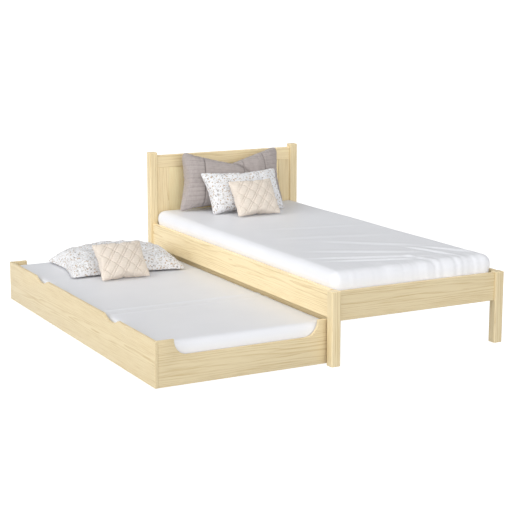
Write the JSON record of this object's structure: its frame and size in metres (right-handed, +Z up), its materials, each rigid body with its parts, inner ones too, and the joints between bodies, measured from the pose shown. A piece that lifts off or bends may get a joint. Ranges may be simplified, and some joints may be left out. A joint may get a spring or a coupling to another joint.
{
  "type": "trundle bed",
  "caption": "Pine single bed with a framed headboard and a low second bed on castors that rolls out from under the side rail, with mattresses and cushions.",
  "frame": {"origin": "on the floor, under the middle of the whole object's box with the trundle pulled out", "axes": "+Y towards the headboard, +Z up, +X across the bed away from the pulled-out trundle"},
  "size_m": [1.858, 2.1, 0.781],
  "materials": {
    "pine_board": "clear satin varnish",
    "slat_pine": "planed, unfinished",
    "batten_pine": "planed, unfinished",
    "webbing": "woven tape",
    "glide_plastic": "matt",
    "wheel_nylon": "matt",
    "zinc_steel": "bright zinc plate",
    "sheet_cotton": "smooth cotton satin",
    "taupe_cotton": "matt woven cotton",
    "floral_cotton": "matt printed cotton",
    "beige_quilt": "quilted cotton"
  },
  "bodies": {
    "bed": {"post_head_left": "pine_board", "post_head_right": "pine_board", "post_foot_left": "pine_board", "post_foot_right": "pine_board", "head_top_rail": "pine_board", "head_bottom_rail": "pine_board", "head_stile_left": "pine_board", "head_stile_right": "pine_board", "head_panel": "pine_board", "foot_rail": "pine_board", "side_rail_left": "pine_board", "side_rail_right": "pine_board", "ledge_left": "batten_pine", "ledge_right": "batten_pine", "bed_slat_1": "slat_pine", "bed_slat_2": "slat_pine", "bed_slat_3": "slat_pine", "bed_slat_4": "slat_pine", "bed_slat_5": "slat_pine", "bed_slat_6": "slat_pine", "bed_slat_7": "slat_pine", "bed_slat_8": "slat_pine", "bed_slat_9": "slat_pine", "bed_slat_10": "slat_pine", "bed_slat_11": "slat_pine", "slat_tapes": "webbing", "rail_hooks": "zinc_steel", "post_glides": "glide_plastic", "bed_mattress": "sheet_cotton", "taupe_pillow": "taupe_cotton", "floral_pillow": "floral_cotton", "beige_cushion": "beige_quilt"},
    "trundle": {"trundle_front": "pine_board", "trundle_back": "pine_board", "trundle_head_end": "pine_board", "trundle_foot_end": "pine_board", "trundle_ledge_front": "batten_pine", "trundle_ledge_back": "batten_pine", "bearer_head": "batten_pine", "bearer_foot": "batten_pine", "trundle_slat_1": "slat_pine", "trundle_slat_2": "slat_pine", "trundle_slat_3": "slat_pine", "trundle_slat_4": "slat_pine", "trundle_slat_5": "slat_pine", "trundle_slat_6": "slat_pine", "trundle_slat_7": "slat_pine", "trundle_slat_8": "slat_pine", "trundle_slat_9": "slat_pine", "castor_forks": "zinc_steel", "castor_axles": "zinc_steel", "castor_screws": "zinc_steel", "trundle_mattress": "sheet_cotton", "trundle_pillow": "floral_cotton", "trundle_cushion": "beige_quilt"},
    "wheel_head_front": {"wheel_head_front": "wheel_nylon"},
    "wheel_head_back": {"wheel_head_back": "wheel_nylon"},
    "wheel_foot_front": {"wheel_foot_front": "wheel_nylon"},
    "wheel_foot_back": {"wheel_foot_back": "wheel_nylon"}
  },
  "joints": [
    {"name": "trundle_slide", "type": "slide", "parent": "bed", "child": "trundle", "axis": [1, 0, 0], "range_m": [0, 0.868], "deforming": ["trundle_pillow", "trundle_cushion"]},
    {"name": "wheel_head_front_spin", "type": "hinge", "parent": "trundle", "child": "wheel_head_front", "pos_m": [-0.823, 0.84, 0.02], "axis": [0, 1, 0], "continuous": true},
    {"name": "wheel_head_back_spin", "type": "hinge", "parent": "trundle", "child": "wheel_head_back", "pos_m": [-0.11, 0.84, 0.02], "axis": [0, 1, 0], "continuous": true},
    {"name": "wheel_foot_front_spin", "type": "hinge", "parent": "trundle", "child": "wheel_foot_front", "pos_m": [-0.823, -0.84, 0.02], "axis": [0, 1, 0], "continuous": true},
    {"name": "wheel_foot_back_spin", "type": "hinge", "parent": "trundle", "child": "wheel_foot_back", "pos_m": [-0.11, -0.84, 0.02], "axis": [0, 1, 0], "continuous": true}
  ],
  "couplings": [
    {"joint": "wheel_head_front_spin", "follows": "trundle_slide", "rad_per_m": 50},
    {"joint": "wheel_head_back_spin", "follows": "trundle_slide", "rad_per_m": 50},
    {"joint": "wheel_foot_front_spin", "follows": "trundle_slide", "rad_per_m": 50},
    {"joint": "wheel_foot_back_spin", "follows": "trundle_slide", "rad_per_m": 50}
  ]
}
